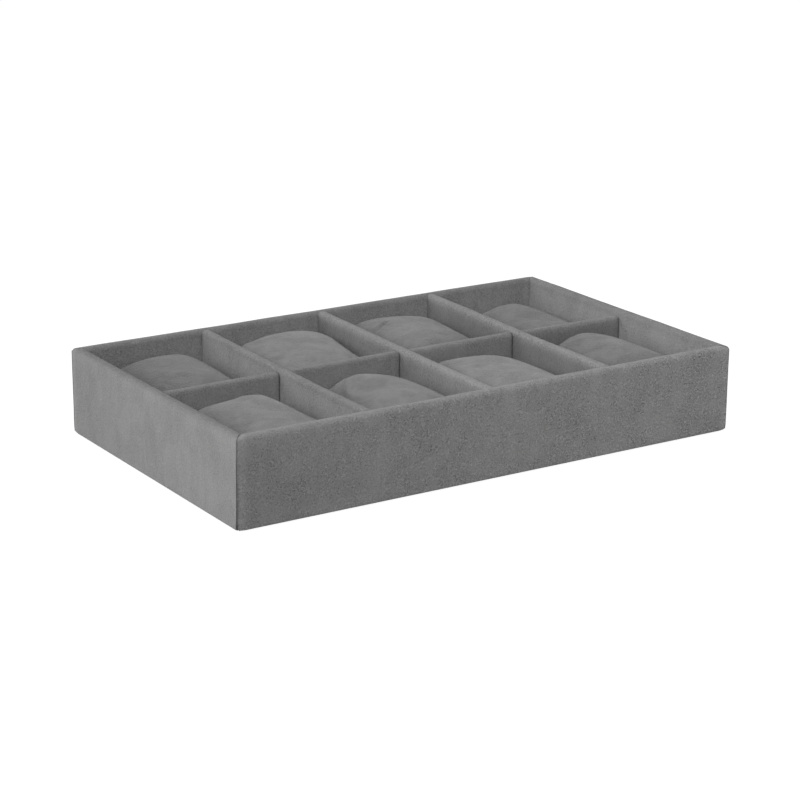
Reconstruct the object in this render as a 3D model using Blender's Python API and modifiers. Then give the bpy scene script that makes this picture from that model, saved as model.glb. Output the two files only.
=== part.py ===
"""Velvet watch organizer: an open tray of wrapped boards with one stuffed pillow in each compartment.

Lengths are in metres. The origin is at the centre of the underside, +X runs along the long
side, +Y points to the back and +Z up. Each board and each velvet cover is its own object.
"""

import math

import bmesh
import bpy
from mathutils import Vector

# Outside of the tray
TRAY_LENGTH = 0.350
TRAY_WIDTH = 0.210
TRAY_HEIGHT = 0.0556

# Sheet goods
WALL_BOARD = 0.005
DIVIDER_BOARD = 0.004
BASE_BOARD = 0.003
FLOOR_CARD = 0.001
UNDERSIDE_SHEET = 0.0006
VELVET = 0.0008

# Roundings that the velvet takes over the board edges
RIM_RADIUS = 0.0026
HEM_RADIUS = 0.0012
FLOOR_CREASE_RADIUS = 0.0005
DIVIDER_TOP_RADIUS = 0.0024
DIVIDER_END_RADIUS = 0.0012
ARC_STEPS = 4

# Turned velvet edges and the sheet that hides them
HEM_WIDTH = 0.015
FLOOR_HEM_WIDTH = 0.008
CORNER_ROLL = 0.0006
UNDERSIDE_INSET = 0.004
UNDERSIDE_CORNER_RADIUS = 0.003

# Layout of the compartments
COLUMNS = 4
ROWS = 2
LONG_DIVIDER_DROP = 0.0006
CROSS_DIVIDER_DROP = 0.0030
CROSS_LEFT_GAP = 0.0003
CROSS_RIGHT_GAP = 0.0010

# Pillows
PILLOW_SIDE_CLEARANCE = 0.0010
PILLOW_END_CLEARANCE = 0.0016
PILLOW_CROWN_ACROSS = 0.42
PILLOW_CROWN_ALONG = 0.66
PILLOW_DRAW_IN = 0.020
PILLOW_FOOT_DRAW_IN = 0.06
PILLOW_SUBDIVISIONS = 2

# Form of each pillow: how far its top lies below the rim, then the heights of its cage before
# smoothing: the crown at front left, front right, back left and back right, and the shoulders
# at the left, the right, the front and the back
PILLOW_FORMS = {
    "front_1": (0.0064, (0.0447, 0.0520, 0.0371, 0.0527), (0.0343, 0.0263, 0.0365, 0.0421)),
    "front_2": (0.0043, (0.0420, 0.0511, 0.0497, 0.0483), (0.0240, 0.0304, 0.0359, 0.0355)),
    "front_3": (0.0047, (0.0482, 0.0466, 0.0516, 0.0449), (0.0396, 0.0324, 0.0340, 0.0366)),
    "front_4": (0.0024, (0.0516, 0.0465, 0.0571, 0.0494), (0.0240, 0.0240, 0.0479, 0.0334)),
    "back_1": (0.0052, (0.0519, 0.0441, 0.0471, 0.0544), (0.0308, 0.0292, 0.0352, 0.0379)),
    "back_2": (0.0024, (0.0494, 0.0419, 0.0472, 0.0546), (0.0350, 0.0377, 0.0241, 0.0342)),
    "back_3": (0.0019, (0.0550, 0.0357, 0.0506, 0.0489), (0.0365, 0.0371, 0.0322, 0.0329)),
    "back_4": (0.0093, (0.0446, 0.0501, 0.0362, 0.0573), (0.0283, 0.0280, 0.0418, 0.0387)),
}
ROW_NAMES = ("front", "back")

# Air between pieces that touch
GAP = 0.0003

VELVET_GREY = (0.195, 0.195, 0.197)
PILLOW_GREY = (0.215, 0.215, 0.217)
BOARD_BROWN = (0.33, 0.24, 0.15)
CARD_GREY = (0.36, 0.34, 0.30)
PAPER_BLACK = (0.02, 0.02, 0.02)

# Layers from the table up
WRAP = VELVET + GAP
WALL = WALL_BOARD + 2 * WRAP
DIVIDER = DIVIDER_BOARD + 2 * WRAP
HEM_BOTTOM = UNDERSIDE_SHEET + GAP
BOARD_BOTTOM = HEM_BOTTOM + WRAP
BASE_TOP = BOARD_BOTTOM + BASE_BOARD
FLOOR_HEM_TOP = BASE_TOP + GAP + VELVET
CARD_BOTTOM = FLOOR_HEM_TOP + GAP
CARD_TOP = CARD_BOTTOM + FLOOR_CARD
LINING_BOTTOM = CARD_TOP + GAP
LINING_TOP = LINING_BOTTOM + VELVET
FLOOR = LINING_TOP + GAP

# Clear size of the tray and of one compartment
INNER_LENGTH = TRAY_LENGTH - 2 * WALL
INNER_WIDTH = TRAY_WIDTH - 2 * WALL
COLUMN_WIDTH = (INNER_LENGTH - (COLUMNS - 1) * DIVIDER) / COLUMNS
ROW_DEPTH = (INNER_WIDTH - (ROWS - 1) * DIVIDER) / ROWS


def clear_scene():
    for obj in list(bpy.data.objects):
        bpy.data.objects.remove(obj, do_unlink=True)


def own_material(name, colour, roughness):
    material = bpy.data.materials.new(name)
    material.use_nodes = True
    shader = material.node_tree.nodes["Principled BSDF"]
    shader.inputs["Base Color"].default_value = (*colour, 1.0)
    shader.inputs["Roughness"].default_value = roughness
    shader.inputs["Metallic"].default_value = 0.0
    material.diffuse_color = (*colour, 1.0)
    return material


def add_piece(name, bm, colour, roughness=0.9, location=(0, 0, 0), turn=0.0):
    """Turns a bmesh into a placed object with its own material, in the tray's collection."""
    bmesh.ops.recalc_face_normals(bm, faces=bm.faces)
    mesh = bpy.data.meshes.new(name)
    bm.to_mesh(mesh)
    bm.free()
    mesh.shade_smooth()
    mesh.set_sharp_from_angle(angle=math.radians(35))
    mesh.materials.append(own_material(name, colour, roughness))
    obj = bpy.data.objects.new(name, mesh)
    obj.location = location
    obj.rotation_euler = (0.0, 0.0, turn)
    tray.objects.link(obj)
    return obj


def box(size, bottom_centre=(0, 0, 0)):
    """A bmesh box that stands on bottom_centre."""
    bm = bmesh.new()
    bmesh.ops.create_cube(bm, size=1.0)
    bmesh.ops.scale(bm, vec=size, verts=bm.verts)
    lift = Vector(bottom_centre) + Vector((0, 0, size[2] / 2))
    bmesh.ops.translate(bm, vec=lift, verts=bm.verts)
    return bm


def rounded_path(corners, radii):
    """Points along square-turning corners, each turn rounded by its radius."""
    points = [Vector(corners[0])]
    for before, corner, after, radius in zip(corners, corners[1:], corners[2:], radii):
        corner = Vector(corner)
        arriving = (corner - Vector(before)).normalized()
        leaving = (Vector(after) - corner).normalized()
        centre = corner - arriving * radius + leaving * radius
        for step in range(ARC_STEPS + 1):
            angle = math.pi / 2 * step / ARC_STEPS
            swing = arriving * math.sin(angle) - leaving * math.cos(angle)
            points.append(centre + swing * radius)
    points.append(Vector(corners[-1]))
    return points


def mitred_wall(name, profile, length, colour, roughness, location, turn, roll=0.0):
    """A profile of (depth from the outer face, height) run along a wall, mitred at both ends.

    The end of each point stands back by its own depth, so four walls close the frame.
    A roll stands the outermost skin back a little more, as cloth that turns into the joint.
    """
    bm = bmesh.new()
    left_end = [bm.verts.new((0, depth, height)) for depth, height in profile]
    face = bm.faces.new(left_end)
    extruded = bmesh.ops.extrude_face_region(bm, geom=[face])["geom"]
    right_end = [item for item in extruded if isinstance(item, bmesh.types.BMVert)]
    for side, ends in ((-1, left_end), (1, right_end)):
        for vert in ends:
            vert.co.x = side * (length / 2 - GAP - max(vert.co.y, roll))
    return add_piece(name, bm, colour, roughness, location, turn)


def wall_board_profile():
    """Upright board with its two top edges eased."""
    ease = min(RIM_RADIUS - WRAP, WALL_BOARD / 2 - GAP)
    outer = WRAP
    inner = WRAP + WALL_BOARD
    top = TRAY_HEIGHT - WRAP
    corners = [(outer, BOARD_BOTTOM), (outer, top), (inner, top), (inner, BOARD_BOTTOM)]
    return rounded_path(corners, (ease, ease))


def wall_velvet_profile():
    """Velvet glued from under the base, up the outside, over the rim and on to the floor."""
    rim = min(RIM_RADIUS, WALL / 2 - GAP)
    hem = max(HEM_RADIUS, VELVET + GAP)
    shown = rounded_path(
        [
            (HEM_WIDTH, HEM_BOTTOM),
            (0, HEM_BOTTOM),
            (0, TRAY_HEIGHT),
            (WALL, TRAY_HEIGHT),
            (WALL, FLOOR_HEM_TOP),
            (WALL + FLOOR_HEM_WIDTH, FLOOR_HEM_TOP),
        ],
        (hem, rim, rim, FLOOR_CREASE_RADIUS),
    )
    glued = rounded_path(
        [
            (HEM_WIDTH, HEM_BOTTOM + VELVET),
            (VELVET, HEM_BOTTOM + VELVET),
            (VELVET, TRAY_HEIGHT - VELVET),
            (WALL - VELVET, TRAY_HEIGHT - VELVET),
            (WALL - VELVET, FLOOR_HEM_TOP - VELVET),
            (WALL + FLOOR_HEM_WIDTH, FLOOR_HEM_TOP - VELVET),
        ],
        (hem - VELVET, rim - VELVET, rim - VELVET, FLOOR_CREASE_RADIUS + VELVET),
    )
    return shown + glued[::-1]


def build_walls():
    """Four mitred boards, each in its own velvet."""
    walls = (
        ("front", TRAY_LENGTH, (0, -TRAY_WIDTH / 2, 0), 0.0),
        ("right", TRAY_WIDTH, (TRAY_LENGTH / 2, 0, 0), math.pi / 2),
        ("back", TRAY_LENGTH, (0, TRAY_WIDTH / 2, 0), math.pi),
        ("left", TRAY_WIDTH, (-TRAY_LENGTH / 2, 0, 0), -math.pi / 2),
    )
    board = wall_board_profile()
    velvet = wall_velvet_profile()
    for side, length, place, turn in walls:
        mitred_wall(side + "_board", board, length, BOARD_BROWN, 0.8, place, turn)
        mitred_wall(
            side + "_velvet", velvet, length, VELVET_GREY, 0.95, place, turn, CORNER_ROLL
        )


def build_base():
    """Base board between the walls, the sheet under it and the lined card on top of it."""
    board_inset = 2 * (WRAP + WALL_BOARD + GAP)
    size = (TRAY_LENGTH - board_inset, TRAY_WIDTH - board_inset, BASE_BOARD)
    add_piece("base_board", box(size, (0, 0, BOARD_BOTTOM)), BOARD_BROWN, 0.8)

    sheet_inset = 2 * UNDERSIDE_INSET
    size = (TRAY_LENGTH - sheet_inset, TRAY_WIDTH - sheet_inset, UNDERSIDE_SHEET)
    bm = box(size)
    uprights = [e for e in bm.edges if abs(e.verts[0].co.z - e.verts[1].co.z) > GAP]
    bmesh.ops.bevel(
        bm,
        geom=uprights,
        offset=UNDERSIDE_CORNER_RADIUS,
        segments=ARC_STEPS,
        profile=0.5,
        affect="EDGES",
    )
    add_piece("underside_sheet", bm, PAPER_BLACK, 0.7)

    lining = (INNER_LENGTH - 2 * GAP, INNER_WIDTH - 2 * GAP)
    card = box((*lining, FLOOR_CARD), (0, 0, CARD_BOTTOM))
    add_piece("floor_card", card, CARD_GREY, 0.85)
    velvet = box((*lining, VELVET), (0, 0, LINING_BOTTOM))
    add_piece("floor_velvet", velvet, VELVET_GREY, 0.95)


def soften_edges(obj, top_radius, end_radius):
    """Rounds the two long top edges by top_radius and the other free edges by end_radius."""
    mesh = obj.data
    length = max(vert.co.x for vert in mesh.vertices)
    top = max(vert.co.z for vert in mesh.vertices)
    weights = mesh.attributes.new("bevel_weight_edge", "FLOAT", "EDGE")
    for edge in mesh.edges:
        a, b = (mesh.vertices[index].co for index in edge.vertices)
        along = abs(a.x - b.x) > length
        if along and min(a.z, b.z) > top - GAP:
            weights.data[edge.index].value = 1.0
        elif not along and max(a.z, b.z) > top - GAP:
            weights.data[edge.index].value = end_radius / top_radius
    bevel = obj.modifiers.new("Rounded edges", "BEVEL")
    bevel.limit_method = "WEIGHT"
    bevel.width = top_radius
    bevel.segments = ARC_STEPS


def divider(name, length, top, location, turn):
    """A board in a velvet sleeve that is closed at the top and the ends, open at the foot."""
    height = top - FLOOR
    limit = DIVIDER / 2 - GAP
    top_radius = min(DIVIDER_TOP_RADIUS, limit)
    end_radius = min(DIVIDER_END_RADIUS, limit)

    bm = box((length, DIVIDER, height))
    foot = [face for face in bm.faces if face.normal.z < -0.5]
    bmesh.ops.delete(bm, geom=foot, context="FACES_ONLY")
    sleeve = add_piece(name + "_velvet", bm, VELVET_GREY, 0.95, location, turn)
    soften_edges(sleeve, top_radius, end_radius)
    shell = sleeve.modifiers.new("Velvet thickness", "SOLIDIFY")
    shell.thickness = VELVET
    shell.offset = -1.0
    shell.use_even_offset = True

    core = box((length - 2 * WRAP, DIVIDER_BOARD, height - WRAP))
    board = add_piece(name + "_board", core, BOARD_BROWN, 0.8, location, turn)
    core_radius = top_radius - WRAP
    soften_edges(board, core_radius, max(end_radius - WRAP, GAP / 3))


def column_centre(column):
    return -INNER_LENGTH / 2 + COLUMN_WIDTH / 2 + column * (COLUMN_WIDTH + DIVIDER)


def row_centre(row):
    return -INNER_WIDTH / 2 + ROW_DEPTH / 2 + row * (ROW_DEPTH + DIVIDER)


def build_dividers():
    """Long dividers run from front to back, and short cross dividers stand between them."""
    long_length = INNER_WIDTH - 2 * GAP
    long_top = TRAY_HEIGHT - LONG_DIVIDER_DROP
    for number in range(1, COLUMNS):
        across = column_centre(number) - (COLUMN_WIDTH + DIVIDER) / 2
        place = (across, 0, FLOOR)
        divider(f"long_divider_{number}", long_length, long_top, place, math.pi / 2)

    cross_length = COLUMN_WIDTH - CROSS_LEFT_GAP - CROSS_RIGHT_GAP
    cross_top = TRAY_HEIGHT - CROSS_DIVIDER_DROP
    shift = (CROSS_LEFT_GAP - CROSS_RIGHT_GAP) / 2
    for column in range(COLUMNS):
        place = (column_centre(column) + shift, 0, FLOOR)
        divider(f"cross_divider_{column + 1}", cross_length, cross_top, place, 0.0)


def evaluated_size(obj):
    """Lowest corner and size of an object's mesh with its modifiers, in its own axes."""
    bpy.context.view_layer.update()
    evaluated = obj.evaluated_get(bpy.context.evaluated_depsgraph_get())
    mesh = evaluated.to_mesh()
    lows = [min(vert.co[axis] for vert in mesh.vertices) for axis in range(3)]
    highs = [max(vert.co[axis] for vert in mesh.vertices) for axis in range(3)]
    evaluated.to_mesh_clear()
    return Vector(lows), Vector(highs) - Vector(lows)


def pillow(name, centre, width, depth, height, crowns, shoulders):
    """A stuffed velvet bag: flat foot, full sides drawn in between the corners, crowned top."""
    bm = bmesh.new()
    bmesh.ops.create_cube(bm, size=2.0)
    crown = ((Vector((1, 0, 0)), PILLOW_CROWN_ACROSS), (Vector((0, 1, 0)), PILLOW_CROWN_ALONG))
    for normal, reach in crown:
        for cut in (-reach, reach):
            bmesh.ops.bisect_plane(
                bm,
                geom=[*bm.verts, *bm.edges, *bm.faces],
                plane_co=normal * cut,
                plane_no=normal,
            )
    left, right, front, back = shoulders
    for vert in bm.verts:
        x, y, z = vert.co
        at_side = abs(x) > 0.99
        at_end = abs(y) > 0.99
        fullness = 1.0 - PILLOW_DRAW_IN * (at_side != at_end) - PILLOW_FOOT_DRAW_IN * (z < 0)
        vert.co.x = x * fullness * width / 2
        vert.co.y = y * fullness * depth / 2
        side = right if x > 0 else left
        end = back if y > 0 else front
        if z < 0:
            vert.co.z = 0.0
        elif at_side and at_end:
            vert.co.z = (side + end) / 2
        elif at_side:
            vert.co.z = side
        elif at_end:
            vert.co.z = end
        else:
            vert.co.z = crowns[2 * (y > 0) + (x > 0)]
    obj = add_piece(name, bm, PILLOW_GREY, 0.95, centre)
    smooth = obj.modifiers.new("Stuffed form", "SUBSURF")
    smooth.levels = PILLOW_SUBDIVISIONS
    smooth.render_levels = smooth.levels

    low, size = evaluated_size(obj)
    middle = low + size / 2
    for vert in obj.data.vertices:
        vert.co.x = (vert.co.x - middle.x) * width / size.x
        vert.co.y = (vert.co.y - middle.y) * depth / size.y
        vert.co.z = (vert.co.z - low.z) * height / size.z
    return obj


def build_pillows():
    """One pillow to a compartment, a little smaller than the compartment all round."""
    width = COLUMN_WIDTH - 2 * PILLOW_SIDE_CLEARANCE
    depth = ROW_DEPTH - 2 * PILLOW_END_CLEARANCE
    for row in range(ROWS):
        for column in range(COLUMNS):
            place = f"{ROW_NAMES[row]}_{column + 1}"
            drop, crowns, shoulders = PILLOW_FORMS[place]
            centre = (column_centre(column), row_centre(row), FLOOR)
            height = TRAY_HEIGHT - FLOOR - drop
            pillow("pillow_" + place, centre, width, depth, height, crowns, shoulders)


clear_scene()
tray = bpy.data.collections.new("watch_organizer")
bpy.context.scene.collection.children.link(tray)
build_base()
build_walls()
build_dividers()
build_pillows()
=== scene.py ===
"""Looks of the velvet watch organizer: wrapped boards, a lined floor and eight stuffed pillows."""

import math
from collections import namedtuple

import bmesh
import bpy
from mathutils import Matrix, Vector, noise


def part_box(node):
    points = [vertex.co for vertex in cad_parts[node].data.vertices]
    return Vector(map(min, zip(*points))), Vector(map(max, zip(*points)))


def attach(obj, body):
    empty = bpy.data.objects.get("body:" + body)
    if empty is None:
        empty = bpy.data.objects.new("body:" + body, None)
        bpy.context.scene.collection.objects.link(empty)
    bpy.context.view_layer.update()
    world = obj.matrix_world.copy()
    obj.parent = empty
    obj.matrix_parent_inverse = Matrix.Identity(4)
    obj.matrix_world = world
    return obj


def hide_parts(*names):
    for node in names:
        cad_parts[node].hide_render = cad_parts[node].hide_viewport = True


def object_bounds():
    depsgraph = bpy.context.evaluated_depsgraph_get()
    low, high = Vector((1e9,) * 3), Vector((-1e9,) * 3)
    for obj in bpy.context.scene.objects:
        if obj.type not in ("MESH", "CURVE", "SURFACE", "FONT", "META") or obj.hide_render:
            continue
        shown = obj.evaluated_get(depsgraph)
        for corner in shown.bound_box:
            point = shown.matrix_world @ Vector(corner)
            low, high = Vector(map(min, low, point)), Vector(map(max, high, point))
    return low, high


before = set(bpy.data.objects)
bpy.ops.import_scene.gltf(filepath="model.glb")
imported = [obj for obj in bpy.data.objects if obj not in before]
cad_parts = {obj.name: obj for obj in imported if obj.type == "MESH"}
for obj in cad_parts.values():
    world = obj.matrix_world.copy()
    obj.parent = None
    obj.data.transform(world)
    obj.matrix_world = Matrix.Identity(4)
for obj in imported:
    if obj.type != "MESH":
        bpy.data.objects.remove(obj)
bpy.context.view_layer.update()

MM = 0.001


# Underside
# A sheet of black uncoated paper glued under the base. It hides the turned edges of
# the velvet, and its own edges stop short of the walls.

def linear(hex_colour):
    """An sRGB hex colour as linear red, green, blue and alpha."""
    values = [int(hex_colour[start:start + 2], 16) / 255 for start in (1, 3, 5)]
    return [v / 12.92 if v <= 0.04045 else ((v + 0.055) / 1.055) ** 2.4 for v in values] + [1.0]


def add(tree, kind, inputs=None, **settings):
    """Adds one node with its settings, and feeds each input a value or another node's output."""
    made = tree.nodes.new(kind)
    for name, value in settings.items():
        setattr(made, name, value)
    for name, value in (inputs or {}).items():
        if isinstance(value, bpy.types.NodeSocket):
            tree.links.new(value, made.inputs[name])
        else:
            made.inputs[name].default_value = value
    return made


def start_material(name):
    """A new material, its tree, its shader and the object's own coordinates in metres."""
    material = bpy.data.materials.new(name)
    material.use_nodes = True
    tree = material.node_tree
    place = add(tree, "ShaderNodeTexCoord").outputs["Object"]
    return material, tree, tree.nodes["Principled BSDF"], place


def dress(material, *names):
    """Puts a material on CAD nodes in place of their own."""
    for name in names:
        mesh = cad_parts[name].data
        mesh.materials.clear()
        mesh.materials.append(material)


# Black kraft paper, calendered: dull, with short paler fibres lying in it.
PAPER_FIBRE = 1.6 * MM
black_paper, tree, shader, place = start_material("black_kraft_paper")
fibres = add(tree, "ShaderNodeTexNoise", {"Vector": place, "Scale": 1 / PAPER_FIBRE, "Detail": 4.0})
tone = add(
    tree, "ShaderNodeMix", {0: fibres.outputs["Fac"], 6: linear("#161617"), 7: linear("#343332")},
    data_type="RGBA",
)
tree.links.new(tone.outputs[2], shader.inputs["Base Color"])
shader.inputs["Roughness"].default_value = 0.78
relief = add(
    tree, "ShaderNodeBump",
    {"Height": fibres.outputs["Fac"], "Distance": 0.05 * MM, "Strength": 0.6},
)
tree.links.new(relief.outputs["Normal"], shader.inputs["Normal"])
dress(black_paper, "underside_sheet")


# Boards
# Base, walls and divider cores are sawn from medium-density fibreboard and glued. The
# velvet covers all of them, so only a cut or an open joint would show their colour.

WALLS = ("front", "right", "back", "left")
DIVIDERS = [f"long_divider_{n}" for n in (1, 2, 3)] + [f"cross_divider_{n}" for n in (1, 2, 3, 4)]

# Medium-density fibreboard, sanded: even brown, with fine felted fibres and darker flecks.
BOARD_FIBRE = 0.9 * MM
BOARD_FLECK = 3.0 * MM
fibreboard, tree, shader, place = start_material("medium_density_fibreboard_sanded")
fibres = add(
    tree, "ShaderNodeTexNoise",
    {"Vector": place, "Scale": 1 / BOARD_FIBRE, "Detail": 5.0, "Roughness": 0.7},
)
flecks = add(tree, "ShaderNodeTexVoronoi", {"Vector": place, "Scale": 1 / BOARD_FLECK})
fleck_mask = add(
    tree, "ShaderNodeMapRange",
    {"Value": flecks.outputs["Distance"], "From Min": 0.0, "From Max": 0.22, "To Min": 0.5, "To Max": 0.0},
)
felt = add(
    tree, "ShaderNodeMix", {0: fibres.outputs["Fac"], 6: linear("#8a6a48"), 7: linear("#b3926a")},
    data_type="RGBA",
)
board_tone = add(
    tree, "ShaderNodeMix", {0: fleck_mask.outputs["Result"], 6: felt.outputs[2], 7: linear("#6d5034")},
    data_type="RGBA",
)
tree.links.new(board_tone.outputs[2], shader.inputs["Base Color"])
shader.inputs["Roughness"].default_value = 0.82
relief = add(
    tree, "ShaderNodeBump",
    {"Height": fibres.outputs["Fac"], "Distance": 0.08 * MM, "Strength": 0.5},
)
tree.links.new(relief.outputs["Normal"], shader.inputs["Normal"])
dress(fibreboard, "base_board", *(name + "_board" for name in (*WALLS, *DIVIDERS)))


# Floor card
# Grey bookbinder's board cut to the clear size of the tray. It carries the floor velvet
# and hides the turned edges of the wall covers.

# Greyboard, pressed from waste paper: speckled grey-brown, quite rough.
CARD_SPECK = 1.1 * MM
greyboard, tree, shader, place = start_material("greyboard_pressed")
specks = add(
    tree, "ShaderNodeTexNoise",
    {"Vector": place, "Scale": 1 / CARD_SPECK, "Detail": 6.0, "Roughness": 0.75},
)
card_tone = add(
    tree, "ShaderNodeMix", {0: specks.outputs["Fac"], 6: linear("#6f6b63"), 7: linear("#a8a297")},
    data_type="RGBA",
)
tree.links.new(card_tone.outputs[2], shader.inputs["Base Color"])
shader.inputs["Roughness"].default_value = 0.85
dress(greyboard, "floor_card")


# Wall covers
# One length of velvet to a wall: glued under the base, up the outside, over the rim, down
# the inside and on to the floor. Its ends are turned into the joint at each corner.

def velvet(name, deep, raised, brushed, relief, clouds, sheen):
    """Grey short-pile velvet, woven and cut.

    The tips stand as fine crisp grain that shows most where light grazes the cloth. The pile
    leans in patches as it was last stroked, which the eye takes for lighter and darker clouds.
    `relief` is how rough it feels, `clouds` how far the patches stand out and `sheen` how
    light its tips look along an edge.
    """
    # Tufts are about 0.4 mm apart, drawn at 1.0 mm so that they show from a step away.
    tuft = 1.0 * MM
    clump = 2.6 * MM
    stroke = 10 * MM
    patch = 36 * MM
    # How strong the grain is in smooth pile, and what ruffling adds to it from clump to clump.
    smooth_grain = 0.9
    least_ruffled, most_ruffled = 0.5, 3.6
    material, tree, shader, place = start_material(name)
    tufts = add(
        tree, "ShaderNodeTexNoise",
        {"Vector": place, "Scale": 1 / tuft, "Detail": 2.0, "Roughness": 0.6, "Distortion": 0.8},
    )
    clumps = add(
        tree, "ShaderNodeTexNoise",
        {"Vector": place, "Scale": 1 / clump, "Detail": 1.0, "Distortion": 0.6},
    )
    # Strokes run down the cloth rather than along it.
    hang = add(
        tree, "ShaderNodeMapping",
        {"Vector": place, "Rotation": (0.08, -0.1, 0.3), "Scale": (1.0, 1.0, 0.45)},
    )
    strokes = add(
        tree, "ShaderNodeTexNoise",
        {"Vector": hang.outputs[0], "Scale": 1 / stroke, "Detail": 2.0, "Roughness": 0.5, "Distortion": 0.7},
    )
    patches = add(
        tree, "ShaderNodeTexNoise",
        {"Vector": place, "Scale": 1 / patch, "Detail": 2.0, "Distortion": 0.5},
    )
    tip, clumped, stroked, clouded = (
        add(
            tree, "ShaderNodeMapRange",
            {"Value": field.outputs["Fac"], "From Min": 0.5 - spread, "From Max": 0.5 + spread},
            interpolation_type="SMOOTHSTEP",
        )
        for field, spread in ((tufts, 0.16), (clumps, 0.14), (strokes, 0.14), (patches, 0.12))
    )
    ruffle = add(tree, "ShaderNodeAttribute", attribute_name="pile_ruffle")
    uneven = add(
        tree, "ShaderNodeMapRange",
        {"Value": clumped.outputs[0], "To Min": least_ruffled, "To Max": most_ruffled},
    )
    strength = add(
        tree, "ShaderNodeMath",
        {0: ruffle.outputs["Fac"], 1: uneven.outputs[0], 2: smooth_grain}, operation="MULTIPLY_ADD",
    )
    centred = add(tree, "ShaderNodeMath", {0: tip.outputs[0], 1: 0.5}, operation="SUBTRACT")
    grain = add(
        tree, "ShaderNodeMath",
        {0: centred.outputs[0], 1: strength.outputs[0], 2: 0.5}, operation="MULTIPLY_ADD",
    )
    pile = add(
        tree, "ShaderNodeMix", {0: grain.outputs[0], 6: linear(deep), 7: linear(raised)},
        data_type="RGBA", clamp_factor=False,
    )
    shade = add(tree, "ShaderNodeMath", {0: stroked.outputs[0], 1: clouded.outputs[0]}, operation="ADD")
    amount = add(tree, "ShaderNodeMath", {0: shade.outputs[0], 1: clouds}, operation="MULTIPLY")
    colour = add(
        tree, "ShaderNodeMix", {0: amount.outputs[0], 6: pile.outputs[2], 7: linear(brushed)},
        data_type="RGBA",
    )
    # Painted light and shade, stored on each vertex, makes the colour lighter or darker.
    lay = add(tree, "ShaderNodeAttribute", attribute_name="pile_painted_shading")
    lighter = add(tree, "ShaderNodeMath", {0: lay.outputs["Fac"], 1: 1.0}, operation="ADD")
    painted_tone = add(
        tree, "ShaderNodeVectorMath",
        {0: colour.outputs[2], "Scale": lighter.outputs[0]}, operation="SCALE",
    )
    tree.links.new(painted_tone.outputs[0], shader.inputs["Base Color"])
    shader.inputs["Roughness"].default_value = 0.95
    shader.inputs["Specular IOR Level"].default_value = 0.12
    shader.inputs["Sheen Weight"].default_value = sheen
    shader.inputs["Sheen Roughness"].default_value = 0.45
    shader.inputs["Sheen Tint"].default_value = linear("#d8d8d8")
    # Relief from coarse to fine: the stroked nap, the clumps and the tips.
    below = {}
    for field, height, strength in (
        (stroked, 0.3 * MM, 0.5), (clumped, 0.22 * MM, 0.5), (tip, 0.3 * MM, 0.9),
    ):
        bump = add(
            tree, "ShaderNodeBump",
            {"Height": field.outputs[0], "Distance": height, "Strength": strength * relief, **below},
        )
        below = {"Normal": bump.outputs[0]}
    tree.links.new(bump.outputs[0], shader.inputs["Normal"])
    return material


def store_painted_shading_and_ruffle(mesh, painted_shadings, ruffles):
    """Stores for each vertex its painted light and shade, and how ruffled its pile is."""
    for name, values in (("pile_painted_shading", painted_shadings), ("pile_ruffle", ruffles)):
        mesh.attributes.new(name, "FLOAT", "POINT").data.foreach_set("value", values)


def between(values, part):
    """A value at a place from 0 to 1 along a row of values at even steps."""
    spot = part * (len(values) - 1)
    first = min(int(spot), len(values) - 2)
    return values[first] + (values[first + 1] - values[first]) * (spot - first)


tray_velvet = velvet(
    "cotton_velvet_glued", deep="#707070", raised="#818181", brushed="#8e8e8e",
    relief=1.0, clouds=0.22, sheen=0.35,
)

(tray_low, tray_high), (lining_low, lining_high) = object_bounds(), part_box("floor_velvet")
CLOTH = 0.45 * MM
AIR = 0.3 * MM
MESH_STEP = 2.5 * MM

# How tightly the cloth turns over the rim, round the foot and on to the floor, and how far
# the floor card and the air round it lift the lining off the turned edges.
RIM = 2.7 * MM
FOOT = 1.3 * MM
CREASE = 0.5 * MM
UNDER_LINING = 1.6 * MM

# A point so near to the top or to the inner face counts as lying on it.
ON_TOP = 0.01 * MM
ON_FACE = 0.1 * MM

# The ends of the covers turn into the joints at the corners. One end of each pair wraps
# the corner in a broad soft roll; the other stands back from it, open at the foot and
# closer at the rim, so that a dark seam shows. The last field gives the painted light on
# the rolled edge.
End = namedtuple("End", "foot_gap rim_gap roll depth lay")
WRAPPED = End(0.4 * MM, 0.4 * MM, 3.6 * MM, 0.6 * MM, 0.12)
STANDING = End(2.5 * MM, 1.1 * MM, 0.8 * MM, 0.2 * MM, 0.0)
CORNER_TUCK = 1.1 * MM
TUCK_HEIGHT = 3 * MM

# Past its roll an end goes on as a narrow flap, turned into the joint, with painted shade on it that darkens
# the seam.
FLAP_END, FLAP_FOLD = -2, -1
TURNED_IN = 0.65 * MM
FLAP_DEPTH = 0.35 * MM
FLAP_TUCK = 0.4 * MM
SEAM_PAINTED_SHADE = -0.75

# How wide the lines spread that give the painted light and shade over the rim, and how far
# hands that carry the tray have smoothed the pile there.
SHADING_SPREAD = 18 * MM
SMOOTHED = 0.55
SMOOTHED_REACH = 7 * MM

# Glued cloth is never quite flat: it has broad swellings, with finer ones on them.
BROAD_WAVE = 45 * MM
FINE_WAVE = 11 * MM
FINE_SHARE = 0.35


def waviness(point, reach=0.22 * MM, seed=0.0):
    """How far glued velvet stands off the true surface at a point."""
    shifted = Vector(point) + Vector((seed, 2 * seed, 3 * seed))
    broad = noise.noise(shifted / BROAD_WAVE)
    fine = noise.noise(shifted / FINE_WAVE)
    return reach * (broad + FINE_SHARE * fine)


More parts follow.
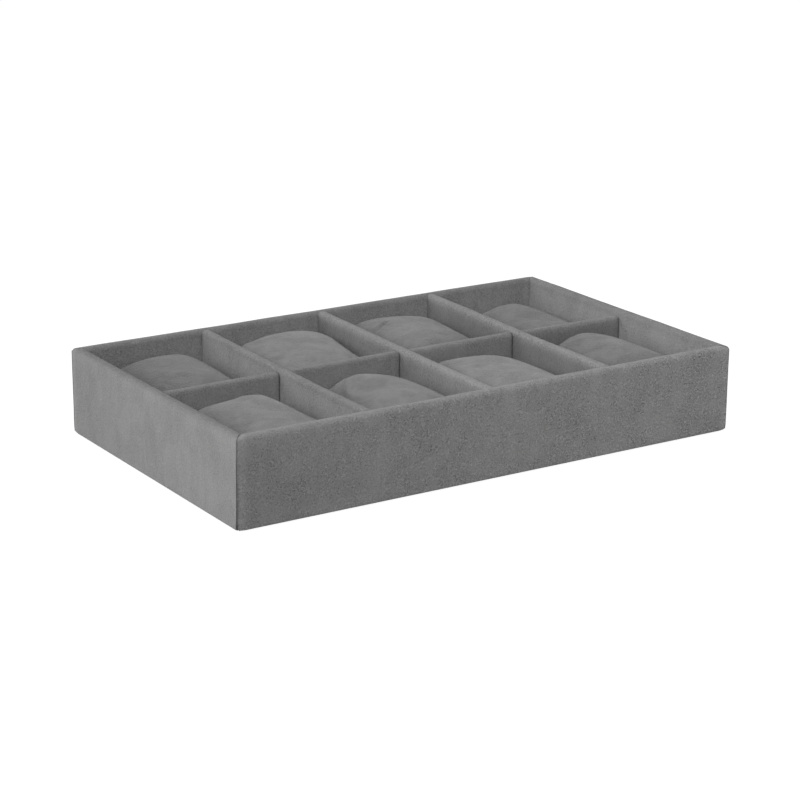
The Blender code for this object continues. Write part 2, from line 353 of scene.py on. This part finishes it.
def rounded_path(corners, radii, arc_steps=7):
    """Points a few millimetres apart along square turns, each rounded by its radius."""
    points = [Vector(corners[0])]
    for before, corner, after, radius in zip(corners, corners[1:], corners[2:], radii):
        before, corner, after = Vector(before), Vector(corner), Vector(after)
        arriving = (corner - before).normalized()
        leaving = (after - corner).normalized()
        start = corner - arriving * radius
        run = (start - points[-1]).length
        count = int(run / MESH_STEP)
        for number in range(count):
            points.append(points[-1].lerp(start, 1 / (count + 1 - number)))
        for step in range(arc_steps + 1):
            angle = math.pi / 2 * step / arc_steps
            swing = arriving * math.sin(angle) - leaving * math.cos(angle)
            points.append(start + leaving * radius + swing * radius)
    points.append(Vector(corners[-1]))
    return points


def finish_mesh(bm, name, material, thickness):
    """Closes a sheet to cloth of real thickness and makes it a smooth object."""
    bmesh.ops.recalc_face_normals(bm, faces=bm.faces)
    mesh = bpy.data.meshes.new(name)
    bm.to_mesh(mesh)
    bm.free()
    mesh.materials.append(material)
    piece = bpy.data.objects.new(name, mesh)
    bpy.context.scene.collection.objects.link(piece)
    if thickness:
        cloth = piece.modifiers.new("Cloth", "SOLIDIFY")
        cloth.thickness = thickness
        cloth.offset = -1.0
    mesh.shade_smooth()
    return piece


def wall_cover(side, length, turn, ends, lay, ruffle, seed):
    """The velvet of one wall, in its place, with its left and its right end as seen from outside.

    Its painted light and shade is given along seven lines 3 mm apart, from the outside over the
    middle of the rim to the inside, each from the left to the right end.
    `ruffle` gives how ruffled the pile is at the two ends.
    """
    low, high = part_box(side + "_velvet")
    inwards = 1 if side in ("front", "back") else 0
    wall = tray_high.x - lining_high.x - AIR
    hem = (high - low)[inwards]
    hem_top = lining_low.z - UNDER_LINING
    corners = [(hem, low.z), (0, low.z), (0, high.z), (wall, high.z), (wall, hem_top), (hem, hem_top)]
    path = rounded_path(corners, (FOOT, RIM, RIM, CREASE))
    lengths = [0.0]
    for point, following in zip(path, path[1:]):
        lengths.append(lengths[-1] + (following - point).length)
    over_rim = [run for run, point in zip(lengths, path) if point.y > high.z - ON_TOP]
    rim_middle = (over_rim[0] + over_rim[-1]) / 2
    outwards = []
    for index, point in enumerate(path):
        along = path[min(index + 1, len(path) - 1)] - path[max(index - 1, 0)]
        outwards.append(Vector((-along.y, along.x)).normalized())

    # Stations along the wall, close together at its two ends: -1, 0 or 1 for the left end, the
    # length between or the right end, then how far along that it is, or a place on the flap.
    rolled = (FLAP_END, FLAP_FOLD, 0.0, 0.15, 0.24, 0.36, 0.55, 1.0)
    count = round(length / MESH_STEP)
    stations = [(-1, part) for part in rolled]
    stations += [(0, step / count) for step in range(1, count)]
    stations += [(1, part) for part in reversed(rolled)]

    bm = bmesh.new()
    rows, painted_shadings, ruffles = [], [], []
    for hand, part in stations:
        end = ends[hand > 0]
        row = []
        for point, outward, run in zip(path, outwards, lengths):
            depth, height = point
            outside = max(0.0, 1 - depth / wall)
            mitre = depth + AIR * outside
            up = (height - low.z) / (high - low).z
            foot = max(0.0, 1 - (height - low.z) / TUCK_HEIGHT) ** 2 * max(0.0, 1 - depth / FOOT)
            tuck = CORNER_TUCK * foot
            first, last = (
                length / 2 - max(mitre, between((edge.foot_gap, edge.rim_gap), up)) - tuck - edge.roll
                for edge in ends
            )
            rolls_at = last if hand > 0 else first
            if hand == 0:
                x = -first + (first + last) * part
                sunk = 0.0
            elif part == FLAP_END:
                x = hand * (length / 2 - max(mitre, TURNED_IN) - min(tuck, FLAP_TUCK))
                sunk = max(TURNED_IN * outside, FLAP_DEPTH)
            elif part == FLAP_FOLD:
                x = hand * (rolls_at + end.roll)
                sunk = max(TURNED_IN * outside, FLAP_DEPTH)
            else:
                x = hand * (rolls_at + end.roll * (1 - part))
                sunk = end.depth * outside * (1 - part ** 0.5)
            shown = depth <= wall + ON_FACE and height > low.z + FOOT
            stands = waviness((x, seed + depth, height), seed=seed) if shown else 0.0
            place = point + outward * (stands - sunk)
            row.append(bm.verts.new((x, place.x, place.y)))
            far = x / length + 0.5
            across = min(1.0, max(0.0, (run - rim_middle) / SHADING_SPREAD + 0.5))
            painted_tone = between([between(line, far) for line in lay], across)
            # At the ends: painted shade on the flap in the joint, painted light on the rolled edge.
            if hand:
                painted_tone = SEAM_PAINTED_SHADE if part in (FLAP_END, FLAP_FOLD) else painted_tone + end.lay
            painted_shadings.append(painted_tone)
            smoothed = SMOOTHED * max(0.0, 1 - abs(run - rim_middle) / SMOOTHED_REACH)
            ruffles.append(between(ruffle, far) * (1 - smoothed))
        rows.append(row)
    for row, following in zip(rows, rows[1:]):
        for a, b, c, d in zip(row, row[1:], following[1:], following):
            bm.faces.new((a, b, c, d))

    to_side = Matrix.Rotation(turn, 4, "Z") @ Matrix.Translation((0, -tray_high[inwards], 0))
    bmesh.ops.transform(bm, matrix=to_side, verts=bm.verts)
    cover = finish_mesh(bm, side + "_cover", tray_velvet, CLOTH)
    store_painted_shading_and_ruffle(cover.data, painted_shadings, ruffles)
    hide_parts(side + "_velvet")
    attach(cover, "tray")


tray_length, tray_width = tray_high.x - tray_low.x, tray_high.y - tray_low.y
# Painted light and shade on each cover's pile: the front lighter to the right, most over its rim, the right
# and back walls lighter down their inner faces, the left wall darker over its rim.
FRONT_PAINTED_SHADING = (
    (-0.14, 0.06, 0.17), (-0.08, 0.20), (0.02, 0.42), (0.08, 0.46), (0.05, 0.30), (0.0, 0.0), (0.0, 0.0),
)
RIGHT_PAINTED_SHADING = (
    (0.0, 0.0), (0.0, 0.0), (-0.04, -0.04), (-0.05, -0.05), (0.06, 0.06), (0.26, 0.22), (0.46, 0.43),
)
BACK_PAINTED_SHADING = (
    (0.0, 0.0), (0.0, 0.0), (-0.04, -0.04), (-0.07, -0.07), (-0.02, -0.04), (0.12, -0.02), (0.27, 0.02),
)
LEFT_PAINTED_SHADING = (
    (-0.03, 0.11), (0.07, 0.20), (-0.12, -0.05), (-0.33, -0.26), (-0.25, -0.22), (0.0, 0.0), (0.0, 0.0),
)
wall_cover("front", tray_length, 0.0, (WRAPPED, WRAPPED), FRONT_PAINTED_SHADING, ruffle=(0.6, 0.9), seed=0.3)
wall_cover("right", tray_width, math.pi / 2, (STANDING, STANDING), RIGHT_PAINTED_SHADING, ruffle=(0.1, 0.1), seed=1.1)
wall_cover("back", tray_length, math.pi, (WRAPPED, STANDING), BACK_PAINTED_SHADING, ruffle=(0.3, 0.4), seed=2.7)
wall_cover("left", tray_width, -math.pi / 2, (WRAPPED, STANDING), LEFT_PAINTED_SHADING, ruffle=(0.0, 0.1), seed=3.9)


# Floor velvet
# The same cloth glued to the floor card. The pillows stand on it, and it shows in the
# gaps round them and when they are lifted out.

dress(tray_velvet, "floor_velvet")


# Divider sleeves
# Velvet folded over each divider board from both sides, closed at the ends and open at
# the foot. Long dividers run from front to back; short cross dividers stand between them.

# How far the edges at the top and at the ends are rounded, first of a divider that stands
# across the tray, then of one along it. The long ones are pushed in tight between the front
# and the back wall, the short ones leave a slit at their right end.
ACROSS, ALONG = 0, 1
SIDE_ROUND = 2.3 * MM
END_ROUND = (0.7 * MM, 0.3 * MM)
PRESSED = (0.35 * MM, 0.25 * MM)

# The pile over the top has its own painted light and shade and is ruffled in its own
# way, from this far below it.
TOP_STARTS = 5.5 * MM
TOP_FADES_IN = 3.5 * MM
FACE_RUFFLE = 0.15
TOP_RUFFLE = 0.35
SLEEVE_WAVE = 0.2 * MM


def lines(low, high, radius, first):
    """Places to cut a face at, close together where an edge will be rounded.

    The last edge always is; `first` says whether the first one is too.
    """
    near = (0.12, 0.3, 0.55, 1.0)
    places = [low + radius * part for part in near] if first else [low]
    ends = [high - radius * part for part in reversed(near)]
    count = max(1, round((ends[0] - places[-1]) / MESH_STEP))
    inner = [places[-1] + (ends[0] - places[-1]) * step / count for step in range(1, count)]
    return places + inner + ends


def divider_sleeve(name, run, seed, face_painted_shading, top_painted_shading, lift, drift=(0.0, 0.0)):
    """A block of the divider's size, open below, its edges rounded and its faces not quite true.

    `run` is the axis that it stands along. The rows give, from its left or front end to its
    right or back end, the painted light and shade on the pile of its faces and over its top,
    and how far it stands higher and further to the right than its place on the drawing, in
    millimetres.
    """
    low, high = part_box(name + "_velvet")
    radii = Vector((SIDE_ROUND, SIDE_ROUND, SIDE_ROUND))
    radii[run] = END_ROUND[run]
    high[run] += PRESSED[run]
    if run == ALONG:
        low.y -= PRESSED[ALONG]
    bm = bmesh.new()
    size = Matrix.Diagonal((*(high - low), 1.0))
    bmesh.ops.create_cube(bm, size=1.0, matrix=Matrix.Translation((low + high) / 2) @ size)
    foot = [face for face in bm.faces if face.normal.z < -0.5]
    bmesh.ops.delete(bm, geom=foot, context="FACES_ONLY")
    for axis in range(3):
        normal = Vector([float(axis == other) for other in range(3)])
        for place in lines(low[axis], high[axis], radii[axis], axis < 2):
            if place > low[axis]:
                bmesh.ops.bisect_plane(
                    bm, geom=[*bm.verts, *bm.edges, *bm.faces], plane_co=normal * place, plane_no=normal
                )
    painted_shadings, ruffles = [], []
    for vert in bm.verts:
        core = Vector([
            min(max(vert.co[axis], low[axis] + radii[axis] * (axis < 2)), high[axis] - radii[axis])
            for axis in range(3)
        ])
        away = Vector([(vert.co[axis] - core[axis]) / radii[axis] for axis in range(3)])
        outward = away.normalized()
        rounded = core + Vector([outward[axis] * radii[axis] for axis in range(3)])
        part = (vert.co[run] - low[run]) / (high - low)[run]
        upper = min(1.0, max(0.0, (vert.co.z - high.z + TOP_STARTS) / TOP_FADES_IN))
        painted_shadings.append(between((between(face_painted_shading, part), between(top_painted_shading, part)), upper))
        ruffles.append(between((FACE_RUFFLE, TOP_RUFFLE), upper))
        rounded += outward * waviness(vert.co, SLEEVE_WAVE, seed)
        rounded.z += between(lift, part) * MM * (vert.co.z - low.z) / (high - low).z
        rounded.x += between(drift, part) * MM
        vert.co = rounded
    sleeve = finish_mesh(bm, name + "_sleeve", tray_velvet, CLOTH)
    store_painted_shading_and_ruffle(sleeve.data, painted_shadings, ruffles)
    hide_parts(name + "_velvet")
    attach(sleeve, "tray")


# Handmade, so each stands a little off the drawing. Their faces and tops carry painted light and shade.
divider_sleeve(
    "long_divider_1", ALONG, seed=5.0, face_painted_shading=(0.19, 0.20), top_painted_shading=(-0.07, -0.05),
    lift=(-0.1, -0.2, 0.2, 0.7), drift=(0.0, -0.4, -0.2, 0.6),
)
divider_sleeve(
    "long_divider_2", ALONG, seed=6.7, face_painted_shading=(0.13, -0.28), top_painted_shading=(0.25, 0.08),
    lift=(-0.5, -0.3, 0.2, 0.9), drift=(-0.6, -0.5, 0.2, 0.75),
)
divider_sleeve(
    "long_divider_3", ALONG, seed=8.4, face_painted_shading=(-0.10, -0.13), top_painted_shading=(0.23, 0.15),
    lift=(-0.5, -0.4, 0.2, 0.9), drift=(-0.6, -0.5, 0.2, 0.75),
)
divider_sleeve(
    "cross_divider_1", ACROSS, seed=10.1, face_painted_shading=(0.02, 0.02), top_painted_shading=(-0.12, -0.05), lift=(0.3, 0.4)
)
divider_sleeve(
    "cross_divider_2", ACROSS, seed=11.8, face_painted_shading=(0.08, 0.08), top_painted_shading=(-0.08, -0.08), lift=(0.7, 0.7)
)
divider_sleeve(
    "cross_divider_3", ACROSS, seed=13.5, face_painted_shading=(0.04, 0.04), top_painted_shading=(0.04, 0.04), lift=(0.5, 0.5)
)
divider_sleeve(
    "cross_divider_4", ACROSS, seed=15.2, face_painted_shading=(-0.10, -0.10), top_painted_shading=(0.0, 0.08), lift=(0.0, -0.7)
)


# Pillows
# Two panels of velvet sewn together all round and filled with fibre, one pillow to a
# compartment. A watch strap closes round it, and it lifts out. Filled by hand, so each
# one crowns in its own way, with its sides drawn in between the corners.

pillow_velvet = velvet(
    "cotton_velvet_sewn", deep="#6b6b6b", raised="#767676", brushed="#888888",
    relief=0.7, clouds=0.42, sheen=0.37,
)
PILLOW_RUFFLE = 0.35
PILLOW_WAVE = 0.4 * MM

# Into how many pieces the cage is cut across, along and up, and how much smaller its foot is
# and how far its sides are drawn in, as shares of its size.
CAGE = (9, 9, 5)
FOOT_SLIM = 0.05
DRAWN_IN = 0.02

# The even mesh on which the filling presses, for how many frames, and how far it may move it.
VOXEL = 2.5 * MM
FILL_FRAMES = 20
FREE_MOVE = 1.8 * MM

# The seam between the two panels runs all round at this height over the foot, and wanders a
# little. Its stitches gather the cloth into puckers. SIDE_FADE lets it fade out where the
# cover leans by 45 degrees, so that it draws in the sides alone.
SEAM_HEIGHT = 17 * MM
SEAM_DEPTH = 1.1 * MM
SEAM_WIDTH = 1.3 * MM
SEAM_WANDER = 0.8 * MM
WANDER_STEP = 20 * MM
PUCKER_DEPTH = 0.5 * MM
PUCKER_REACH = 6 * MM
PUCKER_STEP = 8.5 * MM
UNEVEN_STITCH = 0.6
MEAN_RADIUS = 42 * MM
SIDE_FADE = 1.4

# How each pillow is filled: the height of its top over the table in millimetres, from left
# to right along its front end and along its back end, and the painted light and shade on
# its pile.
FILLINGS = {
    "front_1": ((35.6, 48.8, 49.2, 38.3, 39.5), (30.5, 45.2, 45.2, 50.2, 28.5), -0.02),
    "front_2": ((32.1, 39.4, 42.9, 49.1, 33.7), (32.1, 41.3, 51.0, 45.2, 39.4), -0.08),
    "front_3": ((38.2, 46.4, 48.4, 44.6, 34.8), (40.5, 48.4, 46.5, 44.8, 35.6), 0.15),
    "front_4": ((38.5, 48.2, 52.8, 44.7, 33.8), (41.0, 42.2, 51.6, 44.1, 31.0), -0.07),
    "back_1": ((33.9, 44.5, 47.4, 44.6, 26.0), (32.5, 44.7, 47.4, 47.7, 36.7), -0.25),
    "back_2": ((36.4, 43.7, 44.5, 43.7, 35.5), (37.2, 47.8, 50.6, 50.1, 46.1), 0.05),
    "back_3": ((37.7, 50.6, 53.1, 47.7, 28.8), (35.0, 48.7, 48.3, 46.6, 44.5), -0.05),
    "back_4": ((32.1, 40.0, 43.2, 41.7, 35.2), (30.9, 37.0, 43.1, 46.5, 28.0), -0.10),
}

# How far a pillow's top falls at its front and back end, and how far it swells in the middle.
END_FALL = 5.0 * MM
MIDDLE_SWELL = 1.0 * MM

# Folds that the filling leaves in two of the pillows: the painted shade in the fold and
# beside it on the side of the corner, then its course, from -1 to 1 across and along. The
# corner lies on the right hand of that course, and its painted shade reaches five widths.
FOLDS = {
    "front_2": (-0.18, -0.09, (
        (0.0, 0.90), (-0.24, 0.76), (-0.41, 0.60), (-0.51, 0.40), (-0.54, 0.18), (-0.43, 0.04),
        (-0.28, -0.04),
    )),
    "back_3": (-0.18, -0.02, (
        (-0.20, 0.41), (-0.33, 0.35), (-0.44, 0.30), (-0.62, 0.24), (-0.78, 0.21),
    )),
}
UNFOLDED = (0.0, 0.0, ())

# The cloth rises in a low ridge along both sides of a fold, and a fold fades at its ends.
FOLD_DEPTH = 1.4 * MM
FOLD_WIDTH = 2.6 * MM
FOLD_RIDGE = 1.6
FOLD_FADE = 0.6
CORNER_REACH = 5.0


def apply_modifiers(piece):
    """Puts what the modifiers make into the mesh itself."""
    graph = bpy.context.evaluated_depsgraph_get()
    made = bpy.data.meshes.new_from_object(piece.evaluated_get(graph))
    piece.modifiers.clear()
    piece.data = made


def filled_form(low, high, front, back):
    """A closed cage of the pillow: crowned top, drawn-in sides, foot smaller than the middle."""
    centre, half = (low + high) / 2, (high - low) / 2
    bm = bmesh.new()
    bmesh.ops.create_cube(bm, size=2.0)
    for axis, count in enumerate(CAGE):
        normal = Vector([float(axis == other) for other in range(3)])
        for step in range(1, count):
            cut = normal * (-1 + 2 * step / count)
            bmesh.ops.bisect_plane(
                bm, geom=[*bm.verts, *bm.edges, *bm.faces], plane_co=cut, plane_no=normal
            )
    for vert in bm.verts:
        a, b, c = vert.co
        across = (a + 1) / 2
        crown = between(front, across) * (1 - b) / 2 + between(back, across) * (1 + b) / 2
        top = crown * MM + MIDDLE_SWELL * (1 - b * b) - END_FALL * abs(b) ** 6
        slim = FOOT_SLIM * max(0.0, -c) ** 2
        drawn_x = DRAWN_IN * (1 - b * b) * abs(a) ** 5
        drawn_y = DRAWN_IN * (1 - a * a) * abs(b) ** 5
        vert.co = (
            centre.x + half.x * a * (1 - slim - drawn_x),
            centre.y + half.y * b * (1 - slim - drawn_y),
            low.z + (c + 1) / 2 * (top - low.z),
        )
    return bm


def blow_up(piece):
    """Fills the cover: the cloth is let out a little under pressure from inside, then stopped."""
    start = [vert.co.copy() for vert in piece.data.vertices]
    cloth = piece.modifiers.new("Filling", "CLOTH")
    cloth.settings.use_pressure = True
    cloth.settings.uniform_pressure_force = 4.0
    cloth.settings.shrink_min = -0.03
    cloth.settings.effector_weights.gravity = 0.0
    cloth.settings.quality = 5
    for number in range(1, FILL_FRAMES + 1):
        bpy.context.scene.frame_set(number)
    apply_modifiers(piece)
    for vert, was in zip(piece.data.vertices, start):
        moved = vert.co - was
        if moved.length > FREE_MOVE:
            vert.co = was + moved * (FREE_MOVE / moved.length)
    bpy.context.scene.frame_set(1)


def fold_at(place, spots):
    """How a fold works on a place.

    Returns how many widths it is away, how strong the fold is there, fading at its ends, and
    how far the place belongs to the corner beside it.
    """
    found = []
    for number, (start, end) in enumerate(zip(spots, spots[1:])):
        run = end - start
        part = min(1.0, max(0.0, (place - start).dot(run) / run.length_squared))
        off = place - start - run * part
        right_hand = run.y * off.x - run.x * off.y > 0
        found.append((off.length, (number + part) / (len(spots) - 1), right_hand))
    away, part, right_hand = min(found)
    away /= FOLD_WIDTH
    strong = math.sin(math.pi * part) ** FOLD_FADE
    beside = strong * min(1.0, away) * math.exp(-((away / CORNER_REACH) ** 2)) * right_hand
    return away, strong * math.exp(-(away ** 2)), beside


def sew(piece, low, high, fold, seed):
    """Draws the cover in along the seam between its two panels and along its fold.

    Each stitch of the seam leaves a pucker, and the whole cover is a little uneven. Returns
    for each vertex the painted shade laid on it in the fold and beside it.
    """
    painted_shade_within, painted_shade_beside, course = fold
    centre, half = (low + high) / 2, (high - low) / 2
    mesh = piece.data
    spots = [Vector((centre.x + half.x * a, centre.y + half.y * b)) for a, b in course]
    normals = [vert.normal.copy() for vert in mesh.vertices]
    painted_shade = [0.0] * len(normals)
    for vert, normal in zip(mesh.vertices, normals):
        place = vert.co.copy()
        side = max(0.0, 1 - abs(normal.z) * SIDE_FADE)
        round_it = math.atan2(place.y - centre.y, place.x - centre.x) * MEAN_RADIUS
        drift = noise.noise(Vector((round_it / WANDER_STEP, seed, 0)))
        off_seam = place.z - low.z - SEAM_HEIGHT - drift * SEAM_WANDER
        groove = SEAM_DEPTH * math.exp(-((off_seam / SEAM_WIDTH) ** 2))
        gather = math.cos(2 * math.pi * (round_it / PUCKER_STEP + UNEVEN_STITCH * drift))
        pucker = PUCKER_DEPTH * gather * math.exp(-((off_seam / PUCKER_REACH) ** 2))
        sunk = side * (groove + pucker) - waviness(place, PILLOW_WAVE, seed)
        if spots and normal.z > 0:
            away, strong, beside = fold_at(place.xy, spots)
            sunk += FOLD_DEPTH * strong * (1 - FOLD_RIDGE * away ** 2)
            # Painted shade in the fold and beside it.
            painted_shade[vert.index] = painted_shade_within * strong ** 2 + painted_shade_beside * beside
        place -= normal * sunk
        vert.co = (place.x, place.y, max(place.z, low.z))
    return painted_shade


def pillow_cover(name, front, back, lay, seed):
    """One stuffed pillow in its compartment."""
    low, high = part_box("pillow_" + name)
    piece = finish_mesh(filled_form(low, high, front, back), f"pillow_{name}_cover", pillow_velvet, 0)
    smooth = piece.modifiers.new("Round form", "SUBSURF")
    smooth.levels = smooth.render_levels = 1
    remesh = piece.modifiers.new("Even mesh", "REMESH")
    remesh.mode = "VOXEL"
    remesh.voxel_size = VOXEL
    apply_modifiers(piece)
    blow_up(piece)
    smooth = piece.modifiers.new("Fine mesh", "SUBSURF")
    smooth.levels = smooth.render_levels = 1
    apply_modifiers(piece)
    painted_shade = sew(piece, low, high, FOLDS.get(name, UNFOLDED), seed)
    # Painted light and shade: the pillow's own, plus the painted shade of its fold.
    store_painted_shading_and_ruffle(piece.data, [lay + fold for fold in painted_shade], [PILLOW_RUFFLE] * len(painted_shade))
    piece.data.shade_smooth()
    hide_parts("pillow_" + name)
    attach(piece, f"pillow_{name}_body")


for number, (name, (front, back, lay)) in enumerate(FILLINGS.items()):
    pillow_cover(name, front, back, lay, seed=1.3 * number)


# Studio
# A white floor, two soft lights on the left, one low and one high, and one in front,
# under an even sky of white cloth.

SOFTBOX = 0.9
TRAY_MIDDLE = Vector((0, 0, 0.03))
SKY_STRENGTH = 0.35
FLOOR_REACH = 6.0
FLOOR_GLOW = 0.94


def softbox(name, place, power):
    """A square soft light that faces the tray."""
    lamp = bpy.data.lights.new(name, "AREA")
    lamp.size = SOFTBOX
    lamp.energy = power
    holder = bpy.data.objects.new(name, lamp)
    holder.location = place
    holder.rotation_euler = (TRAY_MIDDLE - Vector(place)).to_track_quat("-Z", "Y").to_euler()
    bpy.context.scene.collection.objects.link(holder)


def as_background(tree):
    """1 where a surface is seen, mirrored or looked at through glass, 0 where it only lights."""
    rays = add(tree, "ShaderNodeLightPath")
    seen = add(
        tree, "ShaderNodeMath",
        {0: rays.outputs["Is Camera Ray"], 1: rays.outputs["Is Glossy Ray"]}, operation="MAXIMUM",
    )
    seen_or_through = add(
        tree, "ShaderNodeMath",
        {0: seen.outputs[0], 1: rays.outputs["Is Transmission Ray"]}, operation="MAXIMUM",
    )
    return seen_or_through.outputs[0]


softbox("low_left_softbox", (-1.75, 0.64, 0.43), 13.1)
softbox("high_left_softbox", (-1.50, -0.40, 1.12), 14.0)
softbox("front_softbox", (-0.40, -1.50, 1.12), 13.8)

world = bpy.data.worlds.new("white_cloth_sky")
bpy.context.scene.world = world
world.use_nodes = True
sky = world.node_tree.nodes["Background"]
sky.inputs["Color"].default_value = (1, 1, 1, 1)
strength = add(
    world.node_tree, "ShaderNodeMapRange",
    {"Value": as_background(world.node_tree), "To Min": SKY_STRENGTH, "To Max": 1.0},
)
world.node_tree.links.new(strength.outputs[0], sky.inputs["Strength"])

# Matt white wall paint. It is seen as pure white, except where the tray shades it.
paint, tree, shader, place = start_material("white_painted_floor")
background = as_background(tree)
floor_tone = add(
    tree, "ShaderNodeMix", {0: background, 6: linear("#c8c8c8"), 7: linear("#707070")}, data_type="RGBA",
)
tree.links.new(floor_tone.outputs[2], shader.inputs["Base Color"])
shader.inputs["Roughness"].default_value = 1.0
shader.inputs["Specular IOR Level"].default_value = 0.0
shader.inputs["Emission Color"].default_value = (1, 1, 1, 1)
glow = add(tree, "ShaderNodeMath", {0: background, 1: FLOOR_GLOW}, operation="MULTIPLY")
tree.links.new(glow.outputs[0], shader.inputs["Emission Strength"])

bm = bmesh.new()
bmesh.ops.create_grid(bm, x_segments=1, y_segments=1, size=FLOOR_REACH)
finish_mesh(bm, "floor", paint, 0)


# Camera
# Placed where the photograph's own perspective puts it: 33 degrees round to the left of
# the front and 17 degrees up, about 1.5 m away.

CAMERA_PLACE = (-0.7578, -1.1689, 0.4532)
LOOKS_ROUND, LOOKS_DOWN, LEANS = (math.radians(angle) for angle in (-32.91, 17.23, 0.41))
LENS = 105.39

camera = bpy.data.objects.new("camera", bpy.data.cameras.new("camera"))
bpy.context.scene.collection.objects.link(camera)
camera.data.sensor_width = 36.0
camera.data.lens = LENS
camera.data.clip_start = 0.05
ahead = Vector((
    -math.sin(LOOKS_ROUND) * math.cos(LOOKS_DOWN),
    math.cos(LOOKS_ROUND) * math.cos(LOOKS_DOWN),
    -math.sin(LOOKS_DOWN),
))
level = Vector((math.cos(LOOKS_ROUND), math.sin(LOOKS_ROUND), 0.0))
upright = level.cross(ahead)
right = level * math.cos(LEANS) + upright * math.sin(LEANS)
up = upright * math.cos(LEANS) - level * math.sin(LEANS)
turn = Matrix((right, up, -ahead)).transposed().to_4x4()
camera.matrix_world = Matrix.Translation(CAMERA_PLACE) @ turn
bpy.context.scene.camera = camera
bpy.context.scene.view_settings.view_transform = "Standard"
